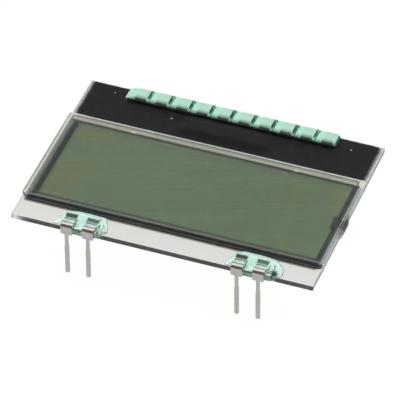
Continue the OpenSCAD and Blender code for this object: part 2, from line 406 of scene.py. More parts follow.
floorPaint, tree = newMaterial("paleFloor")
grain = noiseOf(tree, pointIn(tree), 0.02, 2.0)
greys = [(grey, grey, grey, 1) for grey in (ground["white"] * ground["cloud"], ground["white"])]
white = rampOf(tree, grain, greys)
diffuse = addNode(tree, "ShaderNodeBsdfDiffuse", Color=white).outputs[0]
glow = addNode(tree, "ShaderNodeEmission", Color=(1, 1, 1, 1), Strength=ground["glow"]).outputs[0]
finishMaterial(tree, addNode(tree, "ShaderNodeAddShader", i0=diffuse, i1=glow).outputs[0])
reach = ground["reach"]
floorCorners = [(-reach, -reach, 0), (reach, -reach, 0), (reach, reach, 0), (-reach, reach, 0)]
floor = keepPiece("floor", floorCorners, [(0, 1, 2, 3)], [floorPaint])
print("camera, light and floor set")

# overlap lets the plates reach a little into the layers that lie against them, so that no gap shows
glass = {"tint": (0.78, 0.785, 0.755, 1), "frontTint": (0.93, 0.935, 0.915, 1), "edge": (0.80, 0.84, 0.81, 1),
         "ground": (0.22, 0.23, 0.23, 1), "frost": (paint(225, 232, 236), paint(248, 252, 255)),
         # the front edge's tones by height are painted reflection and shade for the edges turned to the front
         "edgeShadeHeights": (0.24, 0.38, 0.5, 0.62), "edgeShadeDark": (0.010, 0.011, 0.012, 1),
         "edgeShadeLow": (0.11, 0.113, 0.11, 1), "edgeShadeHigh": (0.10, 0.105, 0.10, 1),
         "edgeShadeTop": (0.015, 0.016, 0.017, 1), "edgeShadeCover": 0.9,
         "index": 1.52, "arris": 0.045, "overlap": 0.003, "leftCut": 0.7, "rightCut": 0.35}


def letLightIn(tree, shader, tint):  # light on its way to what lies behind passes straight
    fromLamp = addNode(tree, "ShaderNodeLightPath").outputs["Is Shadow Ray"]
    return mixShaders(tree, fromLamp, shader, clearShader(tree, tint))


def glassMaterial(name, tint, bumpHeight, roughness):  # hackled where it has a bump, else a little dusty
    material, tree = newMaterial(name)
    vector = pointIn(tree)
    settings = {"Base_Color": tint, "IOR": glass["index"], "Transmission_Weight": 1.0, "Roughness": roughness}
    if bumpHeight:
        hackle = noiseOf(tree, vector, 2.2, 4.0, 0.62, stretch=(1, 1, 3.5))
        settings["Normal"] = bumpOf(tree, hackle, 0.5, bumpHeight)
    else:
        dust = noiseOf(tree, vector, 0.45, 4.0, 0.6)
        settings["Roughness"] = addNode(
            tree, "ShaderNodeMapRange", Value=dust, From_Min=0.55, From_Max=0.8, To_Min=0.0, To_Max=roughness,
        ).outputs[0]
    finishMaterial(tree, letLightIn(tree, principled(tree, **settings), (1, 1, 0.99, 1)))
    return material


def hackledEdgeWithPaintedShade(name):  # broken edge with painted reflection: dark bands low and high and a paler band along its middle, partly see-through
    material, tree = newMaterial(name)
    vector = pointIn(tree)
    streaks = noiseOf(tree, vector, 2.5, 4.0, 0.6, stretch=(0.3, 1, 5))
    wavy = maths(tree, "ADD", partsOf(tree, vector)["Z"], product(tree, streaks, 0.16))
    tones = [glass[key] for key in ("edgeShadeDark", "edgeShadeLow", "edgeShadeHigh", "edgeShadeTop")]
    tone = rampOf(tree, maths(tree, "SUBTRACT", wavy, deckZ), tones, glass["edgeShadeHeights"])
    # painted reflection: the front edge's dark and paler bands by height
    paintedEdgeShade = principled(tree, Base_Color=tone, Roughness=0.3, Specular_IOR_Level=0.08)
    through = principled(
        tree, Base_Color=glass["edge"], IOR=glass["index"], Transmission_Weight=1.0, Roughness=0.05,
    )
    surface = mixShaders(tree, glass["edgeShadeCover"], through, paintedEdgeShade)
    finishMaterial(tree, letLightIn(tree, surface, (1, 1, 1, 1)))
    return material


def frostMaterial(name):  # ground arris that lets light glow through it
    material, tree = newMaterial(name)
    tone = rampOf(tree, noiseOf(tree, pointIn(tree), 1.2, 3.0), glass["frost"])
    dull = principled(tree, Base_Color=tone, Roughness=0.5)
    glowing = addNode(tree, "ShaderNodeBsdfTranslucent", Color=tone).outputs[0]
    finishMaterial(tree, mixShaders(tree, 0.5, dull, glowing))
    return material


glassFace = glassMaterial("polishedGlass", glass["tint"], 0, 0.04)
thinGlassFace = glassMaterial("polishedFrontGlass", glass["frontTint"], 0, 0.04)
edgeFinishes = [
    glassMaterial("scribedGlassEdge", glass["edge"], 0.06, 0.05),
    glassMaterial("groundGlassArris", glass["ground"], 0.03, 0.12),
    hackledEdgeWithPaintedShade("hackledFrontEdge"),
    frostMaterial("frostedArris"),
]


def glassFaceOrEdge(face):  # 0 polished face, 1 scribed edge, 2 ground arris, 3 hackled edge with painted dark bands of reflection, taken by the upper faces turned to the front, 4 frosted
    if abs(face.normal.z) > 0.9:
        return 0
    upper = face.center.z > deckZ * mm
    if upper and face.normal.y < -0.5:
        return 3
    if abs(face.normal.z) < 0.2:
        return 4 if face.normal.x < -0.9 or (upper and face.normal.y > 0.9) else 1
    return 4 if face.normal.z > 0 and (abs(face.normal.x) > 0.5 or (upper and face.normal.y > 0.5)) else 2


rearOutline = [(rearLow[0], rearLow[1]), (rearHigh[0], rearLow[1]),
               (rearHigh[0], rearHigh[1]), (rearLow[0], rearHigh[1])]
rearPlate = slab(
    "rearPlate", rearOutline, rearLow[2] - glass["overlap"], rearHigh[2] + glass["overlap"], glass["arris"],
    [glassFace] + edgeFinishes, glassFaceOrEdge,
)
settle(rearPlate, "glass", "rear_glass")
leftCut, rightCut = glass["leftCut"], glass["rightCut"]
frontOutline = [(frontLow[0], frontHigh[1]), (frontLow[0], frontLow[1] + leftCut),
                (frontLow[0] + leftCut, frontLow[1]), (frontHigh[0] - rightCut, frontLow[1]),
                (frontHigh[0], frontLow[1] + rightCut), (frontHigh[0], frontHigh[1])]
frontPlate = slab(
    "frontPlate", frontOutline, frontLow[2] - glass["overlap"], frontHigh[2], 2 * glass["arris"],
    [thinGlassFace] + edgeFinishes, glassFaceOrEdge,
)
settle(frontPlate, "glass", "front_glass")
print("glass plates made")

film = {"tint": paint(240, 244, 238), "cloud": paint(236, 241, 233), "edge": paint(190, 194, 190),
        "edgeDark": paint(168, 173, 168), "gloss": 0.12, "shine": 0.45, "corner": 0.12, "arris": 0.02,
        "silver": (paint(176, 178, 170), paint(190, 192, 184))}
filmPaint, tree = newMaterial("frontPolarizerFilm")
haze = noiseOf(tree, pointIn(tree), 1.6, 3.0)
tint = blendOf(tree, fade(tree, haze, 0.35, 0.7), film["tint"], film["cloud"])
gloss = addNode(tree, "ShaderNodeBsdfGlossy", Color=(1, 1, 1, 1), Roughness=film["gloss"]).outputs[0]
mirror = addNode(tree, "ShaderNodeFresnel", IOR=1.45).outputs[0]
mirror = product(tree, mirror, film["shine"])
finishMaterial(tree, mixShaders(tree, mirror, clearShader(tree, tint), gloss))
filmRim = mottled("polarizerCutEdge", (2.0, 3.0), (film["edge"], film["edgeDark"]), Roughness=0.35)


def filmFaceOrEdge(face):
    return 0 if abs(face.normal.z) > 0.9 else 1


filmSheet = slab(
    "frontFilm", roundedOutline(filmLow, filmHigh, film["corner"]), filmLow[2], filmHigh[2], film["arris"],
    [filmPaint, filmRim], filmFaceOrEdge, 1,
)
settle(filmSheet, "front_polarizer", "front_polarizer")

reflector, tree = newMaterial("rearPolarizerReflector")
vector = pointIn(tree)
brushed = noiseOf(tree, vector, 3.0, 3.0, 0.6, stretch=(0.2, 3, 1))
silver = blendOf(tree, fade(tree, brushed, 0.3, 0.7), *film["silver"])
dimples = bumpOf(tree, noiseOf(tree, vector, 6.0, 2.0), 0.15, 0.01)
finishMaterial(tree, principled(tree, Base_Color=silver, Roughness=0.42, Metallic=0.35, Normal=dimples))
backSheet = slab(
    "rearFilm", roundedOutline(backFilmLow, backFilmHigh, film["corner"]), backFilmLow[2], backFilmHigh[2],
    film["arris"], [reflector], None, 1,
)
settle(backSheet, "rear_polarizer", "rear_polarizer")

# here and in the seal, each pair of places is where a tone begins and where it is full, in millimetres
cell = {"green": paint(162, 174, 160), "olive": paint(173, 171, 141), "shade": paint(128, 138, 128),
        "border": paint(70, 75, 96), "oliveFrom": (7.0, 15.0), "rearShadowFrom": (2.9, 4.5),
        "leftBorder": (-15.85, -16.5), "leftDepth": 0.42, "rightBorder": (17.0, 17.25),
        "frontBorder": (-8.2, -8.5)}
crystal, tree = newMaterial("liquidCrystalCell")
vector = pointIn(tree)
place = partsOf(tree, vector)
patches = noiseOf(tree, vector, 0.16, 3.0, 0.55, offset=(3.1, 1.7, 0))
edgeX = maths(tree, "ABSOLUTE", place["X"])
olive = product(tree, fade(tree, patches, 0.46, 0.60), fade(tree, edgeX, *cell["oliveFrom"]))
tone = blendOf(tree, product(tree, olive, 0.6), cell["green"], cell["olive"])
# painted shadow: the display darkens towards its rear edge, where the front polarizer's rear edge shades the
# reflector
rearShadow = fade(tree, place["Y"], *cell["rearShadowFrom"])
tone = blendOf(tree, product(tree, rearShadow, 0.8), tone, cell["shade"])
speck = noiseOf(tree, vector, 5.0, 3.0, 0.6)
tone = blendOf(tree, product(tree, fade(tree, speck, 0.5, 0.75), 0.12), tone, cell["shade"])
rimLeft = product(tree, fade(tree, place["X"], *cell["leftBorder"]), cell["leftDepth"])
rimRight = fade(tree, place["X"], *cell["rightBorder"])
rimFront = fade(tree, place["Y"], *cell["frontBorder"])
for cover in (rimLeft, rimRight, rimFront):
    tone = blendOf(tree, cover, tone, cell["border"])
finishMaterial(tree, principled(tree, Base_Color=tone, Roughness=0.6, Specular_IOR_Level=0.0))
dress(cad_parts["liquid_crystal"], [crystal])

seal = {"line": paint(34, 37, 40), "outer": paint(176, 182, 190), "beige": paint(204, 206, 190),
        "grit": paint(120, 118, 110), "rightOuter": (17.25, 17.8), "leftOuter": (-16.9, -17.3),
        "leftDepth": 0.7, "greenFrom": (-8.3, -8.5), "greenTo": (-9.12, -8.95), "greenEnds": (16.65, 16.35),
        "lineY": -9.28, "lineHalf": (0.2, 0.1), "beigeFrom": (4.78, 4.98), "slope": 0.35, "slant": 19.1,
        "slantHalf": (0.09, 0.04), "slantFrom": (4.5, 4.6), "clearX": 17.97, "clearBlur": 0.03,
        "clearSlant": (19.12, 19.2), "clearCorner": (4.55, 4.62), "wander": 0.06}
sealPaint, tree = newMaterial("cellSeal")
vector = pointIn(tree)
place = partsOf(tree, vector)
tone = blendOf(tree, fade(tree, place["X"], *seal["rightOuter"]), cell["border"], seal["outer"])
leftOuter = product(tree, fade(tree, place["X"], *seal["leftOuter"]), seal["leftDepth"])
tone = blendOf(tree, leftOuter, tone, seal["outer"])
frontZone = product(
    tree, fade(tree, place["Y"], *seal["greenFrom"]), fade(tree, place["Y"], *seal["greenTo"]),
)
betweenEnds = fade(tree, maths(tree, "ABSOLUTE", place["X"]), *seal["greenEnds"])
inside = product(tree, betweenEnds, product(tree, frontZone, 0.5))
tone = blendOf(tree, inside, tone, cell["green"])
frontLine = fade(tree, distanceFrom(tree, place["Y"], seal["lineY"]), *seal["lineHalf"])
tone = blendOf(tree, frontLine, tone, seal["line"])
tone = blendOf(tree, fade(tree, place["Y"], *seal["beigeFrom"]), tone, seal["beige"])
mottle = noiseOf(tree, vector, 3.5, 3.0, 0.6)
tone = blendOf(tree, product(tree, fade(tree, mottle, 0.4, 0.75), 0.12), tone, seal["grit"])
slant = maths(tree, "ADD", place["X"], product(tree, place["Y"], seal["slope"]))
slantDark = fade(tree, distanceFrom(tree, slant, seal["slant"]), *seal["slantHalf"])
slantDark = product(tree, slantDark, fade(tree, place["Y"], *seal["slantFrom"]))
tone = blendOf(tree, slantDark, tone, cell["border"])
sealCover = principled(tree, Base_Color=tone, Roughness=0.5, Specular_IOR_Level=0.0)
wander = spreadOf(tree, noiseOf(tree, vector, 0.8, 2.0), -seal["wander"], seal["wander"])
sideEdge = (seal["clearX"] - seal["clearBlur"], seal["clearX"] + seal["clearBlur"])
sideClear = fade(tree, maths(tree, "ADD", place["X"], wander), *sideEdge)
cornerClear = product(
    tree, fade(tree, slant, *seal["clearSlant"]), fade(tree, place["Y"], *seal["clearCorner"]),
)
clear = maths(tree, "MAXIMUM", sideClear, cornerClear)
finishMaterial(tree, mixShaders(tree, clear, sealCover, clearShader(tree)))
dress(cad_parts["perimeter_seal"], [sealPaint])

dotColours = (paint(205, 205, 198), paint(240, 240, 232))
dotPaint = mottled("conductiveDot", (12.0, 2.0), dotColours, (0.35, 0.65), Roughness=0.4, Metallic=0.2)
dress(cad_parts["transfer_dots"], [dotPaint])
print("cell and polarizers made")

# each fade is a distance from that edge or corner of the plate: where the coat begins and where it is full
coat = {"cell": 0.15, "thick": 0.035, "swell": 1.5, "cut": 10.88, "cutLeft": -13.2, "cutRight": 12.6,
        "leftFade": (0.0, 0.8), "rightFade": (-0.15, 0.85), "rearFade": (0.02, 0.3), "cornerFade": (0.5, 1.6),
        "cornerSlope": 1.6, "wander": 0.12,
        "black": paint(24, 24, 25), "soft": paint(31, 31, 32), "dust": paint(190, 190, 186),
        "specks": ((-14.6, 11.2, 0.10), (-12.8, 10.4, 0.09), (-6.8, 9.1, 0.13), (-1.7, 7.4, 0.10),
                   (14.5, 10.8, 0.12))}
coatPaint, tree = newMaterial("blackCoating")
vector = pointIn(tree)
place = partsOf(tree, vector)
wander = spreadOf(tree, noiseOf(tree, vector, 0.9, 4.0, 0.6), -coat["wander"], coat["wander"])
fromLeft = maths(tree, "ADD", maths(tree, "SUBTRACT", place["X"], rearLow[0]), wander)
fromRight = maths(tree, "ADD", maths(tree, "SUBTRACT", rearHigh[0], place["X"]), wander)
fromRear = maths(tree, "ADD", maths(tree, "SUBTRACT", rearHigh[1], place["Y"]), wander)
fromCorner = maths(tree, "ADD", fromRight, product(tree, fromRear, coat["cornerSlope"]))
sideCover = product(tree, fade(tree, fromLeft, *coat["leftFade"]), fade(tree, fromRight, *coat["rightFade"]))
rearCover = product(
    tree, fade(tree, fromRear, *coat["rearFade"]), fade(tree, fromCorner, *coat["cornerFade"]),
)
cover = product(tree, sideCover, rearCover)
ripple = noiseOf(tree, vector, 1.4, 4.0, 0.55)
tone = rampOf(tree, ripple, (coat["black"], coat["soft"]))
for x, y, size in coat["specks"]:
    spot = (x, y, deckZ + coat["thick"])
    gap = addNode(tree, "ShaderNodeVectorMath", {"operation": "DISTANCE"}, i0=vector, i1=spot)
    tone = blendOf(tree, fade(tree, gap.outputs["Value"], size, size * 0.45), tone, coat["dust"])
pores = bumpOf(tree, noiseOf(tree, vector, 7.0, 3.0), 0.12, 0.01)
black = principled(tree, Base_Color=tone, Roughness=0.62, Specular_IOR_Level=0.08, Normal=pores)
finishMaterial(tree, mixShaders(tree, cover, clearShader(tree), black))


def coatTop(x, y):  # thin coat that swells softly over the chip
    outX = np.clip(np.abs(x - (chipLow[0] + chipHigh[0]) / 2) - (chipHigh[0] - chipLow[0]) / 2, 0, None)
    outY = np.clip(np.abs(y - (chipLow[1] + chipHigh[1]) / 2) - (chipHigh[1] - chipLow[1]) / 2, 0, None)
    share = np.clip(1 - np.hypot(outX, outY) / coat["swell"], 0, 1)
    return deckZ + coat["thick"] + (chipHigh[2] - deckZ) * share * share * (3 - 2 * share)


def sheet(name, xs, ys, kept, top, bottom, materials):  # closed thin solid over the kept cells of a grid
    x, y = np.meshgrid(xs, ys, indexing="ij")
    upper = np.stack([x, y, top(x, y)], -1).reshape(-1, 3)
    lower = np.stack([x, y, np.full_like(x, bottom)], -1).reshape(-1, 3)
    number = np.arange(x.size).reshape(x.shape)
    padded = np.pad(kept, 1)
    faces = []
    for i, j in np.argwhere(kept):
        ring = [number[i, j], number[i + 1, j], number[i + 1, j + 1], number[i, j + 1]]
        faces += [ring, [corner + x.size for corner in reversed(ring)]]
        for side, (di, dj) in enumerate(((0, -1), (1, 0), (0, 1), (-1, 0))):
            if not padded[i + 1 + di, j + 1 + dj]:
                one, two = ring[side], ring[(side + 1) % 4]
                faces.append([two, one, one + x.size, two + x.size])
    points = np.concatenate([upper, lower])
    used, back = np.unique(np.array(faces), return_inverse=True)
    return keepPiece(name, points[used], back.reshape(-1, 4), materials)


coatXs = np.arange(rearLow[0], rearHigh[0] + 0.01, coat["cell"])
coatYs = np.arange(frontHigh[1] + 0.002, rearHigh[1] + 0.01, coat["cell"])
middleXs, middleYs = ((edges[1:] + edges[:-1]) / 2 for edges in (coatXs, coatYs))
middleX, middleY = np.meshgrid(middleXs, middleYs, indexing="ij")
pinZone = (middleX > coat["cutLeft"]) & (middleX < coat["cutRight"]) & (middleY > coat["cut"])
coatLayer = sheet("coatLayer", coatXs, coatYs, ~pinZone, coatTop, deckZ + 0.001, [coatPaint])
settle(coatLayer, "black_coating", "chip_coating")

chipColours = (paint(70, 72, 80), paint(88, 90, 98))
chipPaint = mottled("silicon", (2.0, 2.0), chipColours, Roughness=0.2, Metallic=0.6)
dress(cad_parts["driver_chip"], [chipPaint])
bondColours = (paint(120, 112, 94), paint(150, 140, 118))
dress(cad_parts["chip_bond_film"], [mottled("bondFilm", (9.0, 2.0), bondColours, Roughness=0.55)])
print("coating and chip made")

# one stamped clip is copied along both rows, and the front row leaves its middle places empty;
# tilt is in degrees, the lengths in millimetres
pin = {"pitch": 2.54, "count": 10, "rounding": 0.02, "leftSlot": 0.24, "rightSlot": 0.29, "jitter": 0.012,
       "tilt": 0.35, "seed": 4, "dull": (0.385, 0.385, 0.355, 1), "bright": (0.435, 0.43, 0.395, 1),
       "scratch": (0.35, 0.345, 0.315, 1)}
frontPinNodes = ["front_pin_%d" % number for number in range(1, 5)]
rearPinNodes = ["rear_pin_%d" % number for number in range(1, 11)]

tin, tree = newMaterial("tinnedStrip")
vector = pointIn(tree)
clouds = noiseOf(tree, vector, 1.5, 4.0, 0.6)
drawn = noiseOf(tree, vector, 5.0, 3.0, 0.6, stretch=(4, 4, 0.5))
tone = rampOf(tree, clouds, (pin["dull"], pin["bright"]))
tone = blendOf(tree, product(tree, fade(tree, drawn, 0.45, 0.7), 0.3), tone, pin["scratch"])
rough = spreadOf(tree, clouds, 0.13, 0.24)
scratches = bumpOf(tree, drawn, 0.18, 0.012)
finishMaterial(tree, principled(tree, Base_Color=tone, Metallic=1.0, Roughness=rough, Normal=scratches))


def clipTemplate():  # a merged copy of one CAD clip at the origin, with its cut edges rounded
    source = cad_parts["front_pin_1"]
    low, high = boxOf("front_pin_1")
    mesh = source.data.copy()
    mesh.transform(Matrix.Translation((-(low[0] + high[0]) / 2 * mm, -rearLow[1] * mm, 0)))
    form = bmesh.new()
    form.from_mesh(mesh)
    bmesh.ops.remove_doubles(form, verts=form.verts, dist=0.0005 * mm)
    bmesh.ops.dissolve_limit(form, angle_limit=math.radians(2), verts=form.verts, edges=form.edges)
    bmesh.ops.recalc_face_normals(form, faces=form.faces)
    for vertex in form.verts:  # the outer wall of each slot moves inwards, the left one by more
        atSlot = 0.33 * mm < abs(vertex.co.x) < 0.37 * mm
        if atSlot and vertex.co.z < (deckZ - 0.55) * mm:
            vertex.co.x = (pin["rightSlot"] if vertex.co.x > 0 else -pin["leftSlot"]) * mm
    form.to_mesh(mesh)
    form.free()
    clip = addObject("clip", mesh)
    roundEdges(clip, pin["rounding"], 2, 40)
    clip.data.materials.clear()
    for face in clip.data.polygons:
        face.use_smooth = True
    clip.data.set_sharp_from_angle(angle=math.radians(38))
    return clip


def rowTree():
    tree = bpy.data.node_groups.new("pinRow", "GeometryNodeTree")
    face = tree.interface
    face.new_socket("Geometry", in_out="OUTPUT", socket_type="NodeSocketGeometry")
    sockets = {}
    for name, kind in (
        ("Clip", "Object"), ("Count", "Int"), ("Pitch", "Float"), ("Middle", "Vector"), ("Turn", "Float"),
        ("Empty From", "Int"), ("Empty To", "Int"), ("Jitter", "Float"), ("Tilt", "Float"), ("Seed", "Int"),
        ("Finish", "Material"),
    ):
        socket = face.new_socket(name, in_out="INPUT", socket_type="NodeSocket" + kind)
        sockets[name] = socket.identifier
    given = tree.nodes.new("NodeGroupInput").outputs
    step = addNode(tree, "ShaderNodeCombineXYZ", X=given["Pitch"]).outputs[0]
    spans = maths(tree, "SUBTRACT", given["Count"], 1.0)
    half = product(tree, product(tree, spans, given["Pitch"]), -0.5)
    back = addNode(tree, "ShaderNodeCombineXYZ", X=half).outputs[0]
    start = addNode(tree, "ShaderNodeVectorMath", {"operation": "ADD"}, i0=given["Middle"], i1=back)
    line = addNode(
        tree, "GeometryNodeMeshLine", Count=given["Count"], Start_Location=start.outputs[0], Offset=step,
    ).outputs[0]
    number = addNode(tree, "GeometryNodeInputIndex").outputs[0]
    tests = []
    for operation, limit in (("GREATER_EQUAL", given["Empty From"]), ("LESS_EQUAL", given["Empty To"])):
        settings = {"data_type": "INT", "operation": operation}
        tests.append(addNode(tree, "FunctionNodeCompare", settings, i2=number, i3=limit).outputs[0])
    after, before = tests
    both = addNode(tree, "FunctionNodeBooleanMath", {"operation": "AND"}, i0=after, i1=before).outputs[0]
    kept = addNode(tree, "GeometryNodeDeleteGeometry", Geometry=line, Selection=both).outputs[0]

    def spread(size, seedShift):  # random value up to this size either way, for each place
        least = product(tree, size, -1.0)
        seed = maths(tree, "ADD", given["Seed"], seedShift)
        settings = {"data_type": "FLOAT"}
        return addNode(tree, "FunctionNodeRandomValue", settings, i2=least, i3=size, Seed=seed).outputs[1]

    move = addNode(tree, "ShaderNodeCombineXYZ", X=spread(given["Jitter"], 0.0)).outputs[0]
    moved = addNode(tree, "GeometryNodeSetPosition", Geometry=kept, Offset=move).outputs[0]
    lean = addNode(tree, "ShaderNodeCombineXYZ", Y=spread(given["Tilt"], 1.0), Z=given["Turn"]).outputs[0]
    clip = addNode(tree, "GeometryNodeObjectInfo", Object=given["Clip"]).outputs["Geometry"]
    rotation = addNode(tree, "FunctionNodeEulerToRotation", Euler=lean).outputs[0]
    placed = addNode(
        tree, "GeometryNodeInstanceOnPoints", Points=moved, Instance=clip, Rotation=rotation,
    ).outputs[0]
    real = addNode(tree, "GeometryNodeRealizeInstances", Geometry=placed).outputs[0]
    painted = addNode(tree, "GeometryNodeSetMaterial", Geometry=real, Material=given["Finish"]).outputs[0]
    addNode(tree, "NodeGroupOutput", Geometry=painted)
    return tree, sockets


def pinRow(name, middle, turn, emptyFrom, emptyTo, nodes):  # places from emptyFrom to emptyTo have no clip
    row = addObject(name, bpy.data.meshes.new(name))
    modifier = row.modifiers.new("row", "NODES")
    modifier.node_group = rowGroup
    for key, value in (
        ("Clip", clip), ("Count", pin["count"]), ("Pitch", pin["pitch"] * mm),
        ("Middle", [part * mm for part in middle]), ("Turn", turn), ("Empty From", emptyFrom),
        ("Empty To", emptyTo), ("Jitter", pin["jitter"] * mm), ("Tilt", math.radians(pin["tilt"])),
        ("Seed", pin["seed"]), ("Finish", tin),
    ):
        modifier[rowSockets[key]] = value
    bakeModifiers(row)
    settle(row, "tinned_strip", *nodes)
    return row


clip = clipTemplate()
rowGroup, rowSockets = rowTree()
frontShift = spanMiddle("front_pin_1", "front_pin_4")
rearShift = spanMiddle("rear_pin_1", "rear_pin_10")
pinRow("frontPins", (frontShift, rearLow[1], 0), 0.0, 2, 7, frontPinNodes)
pinRow("rearPins", (rearShift, rearHigh[1], 0), math.pi, 99, -1, rearPinNodes)
bpy.data.objects.remove(clip)
print("pins set")

glue = {"density": 0.8, "green": (0.50, 0.94, 0.86, 1), "surface": (0.93, 1.0, 0.965, 1),
        "shadeTint": (0.002, 0.085, 0.062, 1), "milk": (0.58, 0.97, 0.82, 1), "shadow": (0.85, 0.97, 0.93, 1),
        "poolMilk": 0.44, "beadMilk": 0.72, "step": 0.045, "beadStep": 0.05}


def glueMaterial(name, milk):  # the shade attribute is painted shade that darkens the surface, and cloud mixes in a milky part
    material, tree = newMaterial(name)
    waves = bumpOf(tree, noiseOf(tree, pointIn(tree), 2.4, 3.0, 0.5), 0.12, 0.03)
    shade = addNode(tree, "ShaderNodeAttribute", {"attribute_name": "shade"}).outputs["Fac"]
    tone = blendOf(tree, shade, glue["surface"], glue["shadeTint"])
    clear = principled(
        tree, Base_Color=tone, IOR=1.48, Transmission_Weight=1.0, Roughness=0.0, Normal=waves,
    )
    cloudy = addNode(tree, "ShaderNodeBsdfDiffuse", Color=glue["milk"]).outputs[0]
    cloud = addNode(tree, "ShaderNodeAttribute", {"attribute_name": "cloud"}).outputs["Fac"]
    surface = mixShaders(tree, product(tree, cloud, spreadOf(tree, shade, milk, 0.0)), clear, cloudy)
    density = glue["density"] / mm
    soak = addNode(tree, "ShaderNodeVolumeAbsorption", Color=glue["green"], Density=density).outputs[0]
    finishMaterial(tree, letLightIn(tree, surface, glue["shadow"]), soak)
    return material


poolPaint = glueMaterial("greenAdhesive", glue["poolMilk"])
beadPaint = glueMaterial("greenAdhesiveBead", glue["beadMilk"])


def gluePiece(name, field, low, high, step, node, shadeAt, finish):
    points, quads = surfaceNet(field, low, high, step)
    piece = keepPiece(name, points, quads, [finish])
    for label, values in zip(("shade", "cloud"), shadeAt(*points.T)):
        values = np.clip(values, 0, 1).astype(np.float32)
        piece.data.attributes.new(label, "FLOAT", "POINT").data.foreach_set("value", values)
    settle(piece, "adhesive", node)
    print(name, len(quads), "faces")


def block(x, y, z, middle, half, rounding):  # rounded box
    away = [np.abs(value - centre) - size + rounding for value, centre, size in zip((x, y, z), middle, half)]
    outside = np.sqrt(sum(np.clip(a, 0, None) ** 2 for a in away))
    return outside + np.clip(np.maximum.reduce(away), None, 0) - rounding


def ridge(x, y, z, path, radius):  # bent rod of glue through the points of a path
    return np.minimum.reduce([capsule(x, y, z, start, end, radius) for start, end in zip(path, path[1:])])


def rounded(value):  # quarter round: 0 at 0, 1 at 1 and beyond
    value = np.clip(value, 0, 1)
    return value * (2 - value)


# over a jaw, each by its distance in from the glass edge: the glue's height, and its shade and cloud, which
# paint the jaw's dark and bright reflection bands seen through the glue
jaw = {
    "wide": 0.82, "reach": 2.45,
    "heights": ((0.15, 0.36), (0.28, 0.44), (0.38, 0.45), (0.9, 0.355), (1.2, 0.32), (1.5, 0.42),
                (1.8, 0.54), (2.05, 0.53), (2.4, 0.36)),
    "shades": ((0.3, 0.0), (0.36, 0.5), (0.48, 0.5), (0.56, 0.0), (0.94, 0.0), (1.0, 0.9), (1.1, 0.9),
               (1.15, 0.0)),
    "tip": (1.26, 1.32, 1.88, 1.95), "tipShades": (0.75, 0.45),
    "clouds": ((0.5, 0.2), (0.6, 2.8), (0.9, 2.8), (1.0, 0.3), (1.1, 0.3), (1.18, 2.8), (1.24, 2.8),
               (1.32, 0.5)),
}

# places are across from the middle of the pair, in from the glass edge and up from the plate, in millimetres;
# an edge is two points of the outline and how far the glue takes to rise from it
# the spots and strokes are painted shade in the glue
shared = {
    "block": ((0.0, 0.0, -0.2), (0.62, 0.28, 0.47)),
    "shadeSpots": ((-0.5, 0.95, 0.45, 0.16), (-0.35, -0.25, -0.55, 0.2), (0.0, -0.25, -0.6, 0.2),
              (0.35, -0.25, -0.6, 0.2)),
    "shadeStroke": (((-0.5, 0.9), (-0.42, 0.3)), 0.07),
}
pools = {
    "left": {
        "edges": (((3.5, -0.2), (3.2, 1.6), 2.4), ((3.2, 1.6), (2.5, 2.95), 0.9),
                  ((-1.35, 2.95), (-2.55, 2.1), 0.5), ((-2.55, 2.1), (-3.1, 0.9), 1.1),
                  ((-3.1, 0.9), (-3.3, -0.2), 2.2)),
        "ridges": ((((2.02, 1.1, 0.36), (2.3, 0.6, 0.34), (2.22, 0.05, 0.05), (2.15, -0.12, -0.4)), 0.11),
                   (((2.5, 1.4, 0.3), (2.8, 0.9, 0.22), (2.7, 0.3, 0.08), (3.3, 0.65, 0.02)), 0.07)),
        "blocks": (shared["block"], ((2.2, 0.0, -0.2), (0.25, 0.2, 0.3))),
        "shadeSpots": shared["shadeSpots"],
        "shadeStrokes": ((((2.25, 1.2), (2.3, 0.9), (2.12, 0.4)), 0.09),
                    (((2.62, 1.35), (2.82, 1.0), (2.62, 0.5), (2.85, 0.28), (3.3, 0.6)), 0.07),
                    shared["shadeStroke"]),
    },
    "right": {
        "edges": (((3.95, -0.2), (3.9, 1.4), 1.5), ((3.9, 1.4), (3.0, 2.5), 0.9),
                  ((3.0, 2.5), (2.0, 2.95), 0.7), ((-1.65, 2.95), (-2.4, 2.1), 0.5),
                  ((-2.4, 2.1), (-2.9, 0.9), 1.0), ((-2.9, 0.9), (-3.05, -0.2), 1.4)),
        "ridges": ((((2.02, 1.1, 0.36), (2.25, 0.6, 0.34), (2.2, 0.05, 0.05), (2.15, -0.12, -0.5)), 0.11),
                   (((2.6, 1.2, 0.2), (2.95, 0.75, 0.2), (2.85, 0.35, 0.1)), 0.15)),
        "blocks": (shared["block"], ((2.35, 0.0, -0.25), (0.42, 0.22, 0.38))),
        "shadeSpots": ((2.92, 0.42, 0.12, 0.40), *shared["shadeSpots"]),
        "shadeStrokes": ((((2.25, 1.2), (2.3, 0.85), (2.15, 0.45)), 0.09), (((2.75, 1.35), (2.85, 0.75)), 0.12),
                    shared["shadeStroke"]),
    },
}


